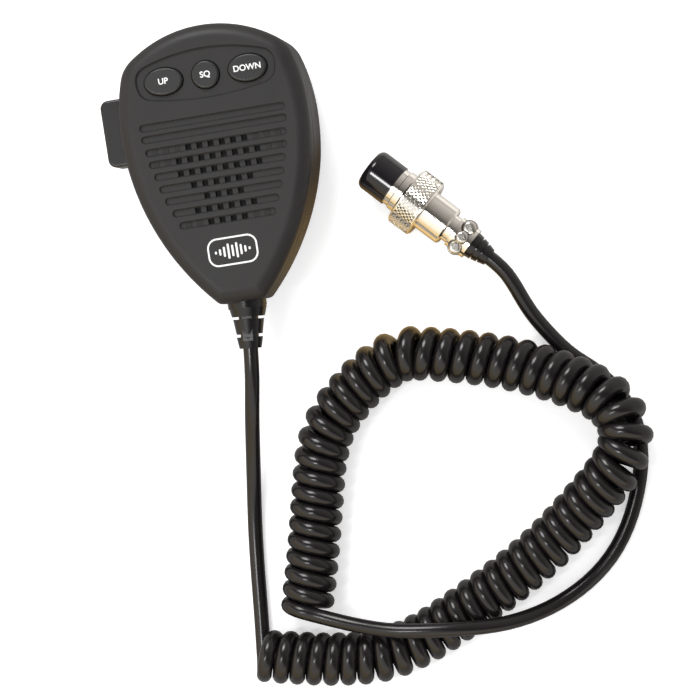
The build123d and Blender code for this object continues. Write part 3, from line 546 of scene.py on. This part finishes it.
# --------------------------------------------------------------- coupling ring
class MICROPHONE_OT_coupling_ring(bpy.types.Operator):
    """Make the plug's coupling ring with its diamond knurl"""

    bl_idname = "microphone.coupling_ring"
    bl_label = "Knurled coupling ring"

    def execute(self, context):
        sizes = context.scene.microphone_sizes
        radius = 10.1 * MM
        half = 4.2 * MM              # half the ring's width
        band = 3.35 * MM             # half the knurled band's width
        depth = 0.36 * MM            # of the knurl's grooves
        sleeve_wall = 0.8 * MM
        # knurled sleeve: a cylinder cut along its length, every other point sunk
        start_clean()
        bpy.ops.mesh.primitive_cylinder_add(
            vertices=2 * sizes.knurls_around, radius=radius, depth=2 * band,
            end_fill_type="NOTHING", location=(0, 0, 0))
        sleeve = context.object
        bpy.ops.object.mode_set(mode="EDIT")
        bpy.ops.mesh.select_all(action="DESELECT")
        bpy.ops.object.mode_set(mode="OBJECT")
        for edge in sleeve.data.edges:
            low, high = (sleeve.data.vertices[i].co for i in edge.vertices)
            edge.select = abs(low.z - high.z) > band
        bpy.ops.object.mode_set(mode="EDIT")
        bpy.ops.mesh.subdivide(number_cuts=2 * sizes.knurls_along - 1)
        bpy.ops.mesh.select_mode(type="VERT")
        bpy.ops.mesh.select_all(action="DESELECT")
        bpy.ops.object.mode_set(mode="OBJECT")
        turn = math.pi / sizes.knurls_around
        step = band / sizes.knurls_along
        for vertex in sleeve.data.vertices:
            column = round(math.atan2(vertex.co.y, vertex.co.x) / turn)
            row = round((vertex.co.z + band) / step)
            vertex.select = (column + row) % 2 == 1
        bpy.ops.object.mode_set(mode="EDIT")
        bpy.ops.transform.shrink_fatten(value=-depth)
        bpy.ops.mesh.select_all(action="SELECT")
        bpy.ops.mesh.quads_convert_to_tris(quad_method="SHORTEST_DIAGONAL")
        bpy.ops.object.mode_set(mode="OBJECT")
        wall = sleeve.modifiers.new("wall", "SOLIDIFY")
        wall.thickness = sleeve_wall
        wall.offset = -1.0
        bpy.ops.object.modifier_apply(modifier="wall")
        body = self.plain_body(context, radius, half, band)
        start_clean()
        sleeve.select_set(True)
        body.select_set(True)
        context.view_layer.objects.active = body
        bpy.ops.object.join()
        body.rotation_euler = (0, math.pi / 2, PLUG_ANGLE)
        body.location = PLUG_CENTRE
        apply_place(body)
        finish_piece(body, "knurled_ring", "nickel", "ring")
        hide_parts("coupling_ring")
        return {"FINISHED"}

    def plain_body(self, context, radius, half, band):
        """The ring's rims and bore, spun from their outline."""
        edge = 0.45 * MM
        rim_r = radius - 0.35 * MM
        face_r = radius - 1.0 * MM
        core_r = radius - 0.7 * MM
        barrel_bore_r = 6.7 * MM
        thread_bore_r = 7.6 * MM
        bore_step = -2.2 * MM
        outline = [
            (barrel_bore_r, -half), (face_r, -half), (rim_r, -half + edge),
            (rim_r, -band), (core_r, -band), (core_r, band), (rim_r, band),
            (rim_r, half - edge), (face_r, half), (8.0 * MM, half),
            (thread_bore_r, half - edge), (thread_bore_r, bore_step),
            (barrel_bore_r, bore_step),
        ]
        mesh = bpy.data.meshes.new("ring_body")
        loop = [(i, (i + 1) % len(outline)) for i in range(len(outline))]
        mesh.from_pydata([(x, 0, z) for x, z in outline], loop, [])
        body = bpy.data.objects.new("ring_body", mesh)
        context.collection.objects.link(body)
        start_clean()
        body.select_set(True)
        context.view_layer.objects.active = body
        bpy.ops.object.mode_set(mode="EDIT")
        bpy.ops.mesh.select_all(action="SELECT")
        bpy.ops.mesh.spin(steps=96, angle=2 * math.pi, center=(0, 0, 0), axis=(0, 0, 1))
        bpy.ops.mesh.select_all(action="SELECT")
        bpy.ops.mesh.remove_doubles(threshold=0.001 * MM)
        bpy.ops.mesh.normals_make_consistent(inside=False)
        bpy.ops.object.mode_set(mode="OBJECT")
        bpy.ops.object.shade_smooth_by_angle(angle=math.radians(25))
        return body


# ---------------------------------------------------------------- lever's spring
class MICROPHONE_OT_lever_spring(bpy.types.Operator):
    """Wind the lever's return spring, made at one length; the real one shortens as the lever
    goes in
    """

    bl_idname = "microphone.lever_spring"
    bl_label = "Lever spring"

    def execute(self, context):
        low, high = (Vector(corner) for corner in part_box("ptt_spring"))
        turns = 5
        turn_steps = 24
        wire_r = 0.3 * MM
        coil_r = (high.z - low.z) / 2 - wire_r
        start_clean()
        bpy.ops.mesh.primitive_circle_add(vertices=10, radius=wire_r, location=(coil_r, 0, 0),
                                          rotation=(math.pi / 2, 0, 0))
        spring = context.object
        apply_place(spring)
        wind = spring.modifiers.new("wind", "SCREW")
        wind.iterations = turns
        wind.steps = wind.render_steps = turn_steps
        wind.screw_offset = (high.x - low.x - 2 * wire_r) / turns
        bpy.ops.object.modifier_apply(modifier="wind")
        bpy.ops.object.mode_set(mode="EDIT")
        bpy.ops.mesh.select_all(action="SELECT")
        bpy.ops.mesh.fill_holes(sides=0)
        bpy.ops.mesh.select_all(action="SELECT")
        bpy.ops.mesh.normals_make_consistent(inside=False)
        bpy.ops.object.mode_set(mode="OBJECT")
        bpy.ops.object.shade_smooth_by_angle(angle=math.radians(50))
        anchor = Vector((high.x, (low.y + high.y) / 2, (low.z + high.z) / 2))
        spring.rotation_euler = (0, math.pi / 2, 0)
        spring.location = (low.x + wire_r, anchor.y, anchor.z)
        apply_place(spring)
        finish_piece(spring, "lever_spring", "steel", BODY)
        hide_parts("ptt_spring")
        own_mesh(spring)
        return {"FINISHED"}


# ---------------------------------------------------------------- white print
CAPITAL_SHARE = 0.7          # a capital's height as a share of the font's size
KEY_LABELS = [("key_up", "up_key", "UP"), ("key_squelch", "squelch_key", "SQ"),
              ("key_down", "down_key", "DOWN")]


class MICROPHONE_OT_key_labels(bpy.types.Operator):
    """Print the plain white letters on the keys"""

    bl_idname = "microphone.key_labels"
    bl_label = "Key lettering"

    def execute(self, context):
        sizes = context.scene.microphone_sizes
        for node, body, words in KEY_LABELS:
            low, high = (Vector(corner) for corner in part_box(node))
            start_clean()
            bpy.ops.object.text_add(location=((low.x + high.x) / 2, (low.y + high.y) / 2,
                                              high.z))
            text = context.object
            text.data.body = words
            text.data.size = sizes.letter_height / CAPITAL_SHARE
            text.data.align_x = "CENTER"
            text.data.align_y = "CENTER"
            text.data.extrude = sizes.print_height
            text.data.offset = 0.05 * MM
            bpy.ops.object.convert(target="MESH")
            label = context.object
            apply_place(label)
            finish_piece(label, f"{node}_print", "print", body)
        return {"FINISHED"}


def add_outline(curve, corners):
    """Adds a closed outline to a flat curve."""
    spline = curve.splines.new("POLY")
    spline.points.add(len(corners) - 1)
    for point, (x, y) in zip(spline.points, corners):
        point.co = (x, y, 0, 1)
    spline.use_cyclic_u = True


def stadium(half_length, half_height, corner, steps=10):
    """Corner points of a rounded bar."""
    corners = []
    for quarter, (side_x, side_y) in enumerate([(1, 1), (-1, 1), (-1, -1), (1, -1)]):
        for step in range(steps + 1):
            angle = (quarter + step / steps) * math.pi / 2
            corners.append((side_x * (half_length - corner) + corner * math.cos(angle),
                            side_y * (half_height - corner) + corner * math.sin(angle)))
    return corners


MARK_Y = -33.9 * MM          # the mark's middle, below the grille


class MICROPHONE_OT_emblem(bpy.types.Operator):
    """Print a plain sound-wave mark in a rounded frame below the grille"""

    bl_idname = "microphone.emblem"
    bl_label = "Printed mark"

    def execute(self, context):
        sizes = context.scene.microphone_sizes
        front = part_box("front_shell")[1][2]
        curve = bpy.data.curves.new("wave_mark", "CURVE")
        curve.dimensions = "2D"
        curve.fill_mode = "BOTH"
        curve.extrude = sizes.print_height
        half_length, half_height, corner = 8.0 * MM, 4.5 * MM, 3.2 * MM
        line = 0.55 * MM
        add_outline(curve, stadium(half_length, half_height, corner))
        add_outline(curve, stadium(half_length - line, half_height - line, corner - line))
        bar_heights = [0.9, 2.0, 3.2, 4.8, 3.6, 4.8, 3.2, 2.0, 0.9]
        bar_pitch, bar_half_width, bar_corner = 1.35 * MM, 0.33 * MM, 0.3 * MM
        for place, height in enumerate(bar_heights):
            middle = (place - (len(bar_heights) - 1) / 2) * bar_pitch
            bar = stadium(bar_half_width, height / 2 * MM, bar_corner, steps=4)
            add_outline(curve, [(x + middle, y) for x, y in bar])
        mark = bpy.data.objects.new("wave_mark", curve)
        context.collection.objects.link(mark)
        start_clean()
        mark.select_set(True)
        context.view_layer.objects.active = mark
        bpy.ops.object.convert(target="MESH")
        mark = context.object
        mark.location = (0, MARK_Y, front)
        apply_place(mark)
        finish_piece(mark, "wave_mark", "print", BODY)
        return {"FINISHED"}


# ------------------------------------------------------------ grille's closed holes
# Height of each row on the grille, and the columns of its closed holes.
CLOSED_HOLES = [(0.4, (3, 4, 5)), (-3.5, (4, 5)), (-23.8, (2, 3))]


class MICROPHONE_OT_closed_holes(bpy.types.Operator):
    """Make dark pads of painted shade in the closed holes that carry on from the grille's open
    ones
    """

    bl_idname = "microphone.closed_holes"
    bl_label = "Closed grille holes"

    def execute(self, context):
        pitch, width, height, thick = 3.6 * MM, 1.9 * MM, 2.2 * MM, 0.2 * MM
        slot_depth = 0.8 * MM
        slot_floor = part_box("front_shell")[1][2] - slot_depth
        start_clean()
        pads = []
        for row_y, columns in CLOSED_HOLES:
            for column in columns:
                for side in (-1, 1):
                    bpy.ops.mesh.primitive_cube_add(size=1.0, location=(
                        side * (column + 0.5) * pitch, row_y * MM, slot_floor))
                    pad = context.object
                    pad.scale = (width, height, thick)
                    pads.append(pad)
        for pad in pads:
            pad.select_set(True)
        context.view_layer.objects.active = pads[0]
        bpy.ops.object.join()
        pad = context.object
        apply_place(pad)
        soften = pad.modifiers.new("soften", "BEVEL")
        soften.width = 0.08 * MM
        soften.segments = 2
        bpy.ops.object.modifier_apply(modifier="soften")
        # painted shade: the pads take the dark finish in place of the shade inside the holes
        finish_piece(pad, "closed_holes", "dark", BODY)
        return {"FINISHED"}


# ---------------------------------------------------------------- CAD finishes
class MICROPHONE_OT_finishes(bpy.types.Operator):
    """Give every solid part its finish"""

    bl_idname = "microphone.finishes"
    bl_label = "Finishes"

    def execute(self, context):
        for finish, names in NODE_FINISHES.items():
            for name in names:
                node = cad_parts[name]
                if not node.material_slots:
                    node.data.materials.append(MATERIALS[finish])
                for slot in node.material_slots:
                    slot.link = "OBJECT"
                    slot.material = MATERIALS[finish]
        return {"FINISHED"}


# ----------------------------------------------------------------------- stage
ACROSS_PLUG = (math.sin(PLUG_ANGLE), -math.cos(PLUG_ANGLE), 0.0)
BARREL_R = 6.6 * MM
BAND_REACH = 60 * MM         # on the floor, the painted reflection bands end this far from the plug
BAND_DROP = 12 * MM          # from the barrel's side to the floor, as its reflections see it
FLOOR_SIDE = 6.0
FLOOR_GLOW = 0.42
BACKDROP_STRENGTH = 0.85
# name, place, what it points at, size and power in watts
SOFTBOXES = [
    ("key_softbox", (-0.12, 0.75, 0.72), (0.0, 0.0, 0.0), (0.45, 0.45), 6.5),
    ("stripe_softbox", (-0.30, -0.17, 1.1), (0.03, -0.07, 0.0), (0.09, 0.34), 2.3),
]


def calculate(tree, kind, operation, *values, output="Value"):
    """A Math or Vector Math node's result, from other nodes' outputs or plain values."""
    node = tree.nodes.new(kind)
    node.operation = operation
    for socket, value in zip(node.inputs, values):
        if isinstance(value, bpy.types.NodeSocket):
            tree.links.new(value, socket)
        else:
            socket.default_value = value
    return node.outputs[output]


def area_light(name, place, aim, size, power):
    """A rectangular white lamp at a place, pointed at another."""
    light = bpy.data.lights.new(name, "AREA")
    light.shape = "RECTANGLE"
    light.size, light.size_y = size
    light.energy = power
    lamp = bpy.data.objects.new(name, light)
    lamp.location = place
    lamp.rotation_euler = (Vector(aim) - Vector(place)).to_track_quat("-Z", "Y").to_euler()
    bpy.context.collection.objects.link(lamp)


class MICROPHONE_OT_stage(bpy.types.Operator):
    """Set the pale floor, the soft lights and the camera"""

    bl_idname = "microphone.stage"
    bl_label = "Floor, lights and camera"

    def execute(self, context):
        scene = context.scene
        self.place_floor(context)
        world = bpy.data.worlds.new("studio")
        world.use_nodes = True
        tree = world.node_tree
        backdrop = tree.nodes["Background"]
        backdrop.inputs["Strength"].default_value = BACKDROP_STRENGTH
        tree.links.new(self.seen_by_gloss(tree, (1.0, 1.0, 1.0, 1.0), self.sky_bands(tree)),
                       backdrop.inputs["Color"])
        scene.world = world
        for softbox in SOFTBOXES:
            area_light(*softbox)
        self.place_camera(scene)
        scene.view_settings.view_transform = "Standard"
        return {"FINISHED"}

    def place_floor(self, context):
        """A pale floor that glows a little to the camera, so its shadows stay pale. To glossy
        rays it carries painted reflection bands around the plug.
        """
        start_clean()
        bpy.ops.mesh.primitive_plane_add(size=FLOOR_SIDE, location=(0, 0, 0))
        floor = context.object
        floor.name = "floor"
        material, shader = new_material("floor_white", 0.9, specular=0.1)
        floor.data.materials.append(material)
        tree = material.node_tree
        # painted reflection: to glossy rays the floor shows warm and dark bands around the plug,
        # which the chrome reflects
        tree.links.new(
            self.seen_by_gloss(tree, (0.93, 0.93, 0.93, 1.0), self.floor_painted_reflections(tree)),
            shader.inputs["Base Color"])
        path = tree.nodes.new("ShaderNodeLightPath")
        glow = calculate(tree, "ShaderNodeMath", "MULTIPLY", path.outputs["Is Camera Ray"],
                         FLOOR_GLOW)
        shader.inputs["Emission Color"].default_value = (1.0, 1.0, 1.0, 1.0)
        tree.links.new(glow, shader.inputs["Emission Strength"])

    def seen_by_gloss(self, tree, plain, bands):
        """A colour that is plain, but the studio's bands to a glossy ray."""
        path = tree.nodes.new("ShaderNodeLightPath")
        mix = tree.nodes.new("ShaderNodeMix")
        mix.data_type = "RGBA"
        mix.inputs["A"].default_value = plain
        tree.links.new(path.outputs["Is Glossy Ray"], mix.inputs["Factor"])
        tree.links.new(bands, mix.inputs["B"])
        return mix.outputs["Result"]

    def sky_bands(self, tree):
        """The studio's bands all round, by direction."""
        bands = tree.nodes.new("ShaderNodeGroup")
        bands.node_tree = GROUPS["reflections"]
        direction = tree.nodes.new("ShaderNodeTexCoord").outputs["Generated"]
        for label, axis in (("Across", ACROSS_PLUG), ("Up", (0.0, 0.0, 1.0))):
            share = calculate(tree, "ShaderNodeVectorMath", "DOT_PRODUCT", direction, axis)
            tree.links.new(share, bands.inputs[label])
        return bands.outputs["Colour"]

    def floor_painted_reflections(self, tree):
        """Painted reflections: the same bands painted on the floor around the plug, by place,
        and grey further off, for the plug's glossy reflections.
        """
        bands = tree.nodes.new("ShaderNodeGroup")
        bands.node_tree = GROUPS["reflections"]
        bands.inputs["Up"].default_value = -BAND_DROP
        place = tree.nodes.new("ShaderNodeTexCoord").outputs["Object"]
        under_plug = (PLUG_CENTRE.x, PLUG_CENTRE.y, 0.0)
        offset = calculate(tree, "ShaderNodeVectorMath", "SUBTRACT", place, under_plug,
                           output="Vector")
        across = calculate(tree, "ShaderNodeVectorMath", "DOT_PRODUCT", offset, ACROSS_PLUG)
        distance = calculate(tree, "ShaderNodeMath", "ABSOLUTE", across)
        distance = calculate(tree, "ShaderNodeMath", "SUBTRACT", distance, BARREL_R)
        distance = calculate(tree, "ShaderNodeMath", "MAXIMUM", distance, 0.0)
        side = calculate(tree, "ShaderNodeMath", "SIGN", across)
        tree.links.new(calculate(tree, "ShaderNodeMath", "MULTIPLY", distance, side),
                       bands.inputs["Across"])
        away = calculate(tree, "ShaderNodeVectorMath", "DISTANCE", place, under_plug)
        fade = tree.nodes.new("ShaderNodeMapRange")
        fade.inputs["From Min"].default_value = 0.6 * BAND_REACH
        fade.inputs["From Max"].default_value = BAND_REACH
        spread = tree.nodes.new("ShaderNodeMix")
        spread.data_type = "RGBA"
        spread.inputs["B"].default_value = (0.42, 0.40, 0.38, 1.0)
        tree.links.new(away, fade.inputs["Value"])
        tree.links.new(fade.outputs["Result"], spread.inputs["Factor"])
        tree.links.new(bands.outputs["Colour"], spread.inputs["A"])
        return spread.outputs["Result"]

    def place_camera(self, scene):
        """A long lens above the grille, turned a little and leaning to the right."""
        tilt, roll = math.radians(7.0), math.radians(9.0)
        distance = 1.0
        aim = Vector((28.47, -70.42, 9.0)) * MM
        back = Vector((math.sin(tilt), 0.0, math.cos(tilt)))
        rough_up = Vector((math.sin(roll), math.cos(roll), 0.0))
        up = (rough_up - back * rough_up.dot(back)).normalized()
        right = up.cross(back)
        place = aim + back * distance
        turn = Matrix((right, up, back)).transposed().to_4x4()
        data = bpy.data.cameras.new("camera")
        data.lens = 160.5
        data.sensor_width = 36.0
        data.clip_end = 10.0
        camera = bpy.data.objects.new("camera", data)
        camera.matrix_world = Matrix.Translation(place) @ turn
        bpy.context.collection.objects.link(camera)
        scene.camera = camera


# ----------------------------------------------------------------------- panel
STEPS = ["coupling_ring", "cord", "lever_spring", "key_labels", "emblem", "closed_holes",
         "finishes", "stage"]


class MICROPHONE_PT_parts(bpy.types.Panel):
    """Lists the microphone's making steps"""

    bl_idname = "MICROPHONE_PT_parts"
    bl_label = "Hand microphone"
    bl_space_type = "VIEW_3D"
    bl_region_type = "UI"
    bl_category = "Microphone"

    def draw(self, context):
        for group in (context.scene.microphone_sizes, context.scene.microphone_colours):
            for name in group.__annotations__:
                self.layout.prop(group, name)
        for step in STEPS:
            self.layout.operator(f"microphone.{step}")


CLASSES = [
    MicrophoneSizes, MicrophoneColours, MICROPHONE_OT_coupling_ring, MICROPHONE_OT_cord,
    MICROPHONE_OT_lever_spring, MICROPHONE_OT_key_labels, MICROPHONE_OT_emblem,
    MICROPHONE_OT_closed_holes, MICROPHONE_OT_finishes, MICROPHONE_OT_stage,
    MICROPHONE_PT_parts,
]


def register():
    """Adds the classes and their values to Blender."""
    for item in CLASSES:
        bpy.utils.register_class(item)
    bpy.types.Scene.microphone_sizes = bpy.props.PointerProperty(type=MicrophoneSizes)
    bpy.types.Scene.microphone_colours = bpy.props.PointerProperty(type=MicrophoneColours)


def unregister():
    """Takes them away again."""
    del bpy.types.Scene.microphone_colours
    del bpy.types.Scene.microphone_sizes
    for item in reversed(CLASSES):
        bpy.utils.unregister_class(item)


def main():
    """Makes every piece and the stage."""
    register()
    MATERIALS.update(make_materials(bpy.context.scene.microphone_colours))
    for step in STEPS:
        getattr(bpy.ops.microphone, step)()


if __name__ == "__main__":
    main()
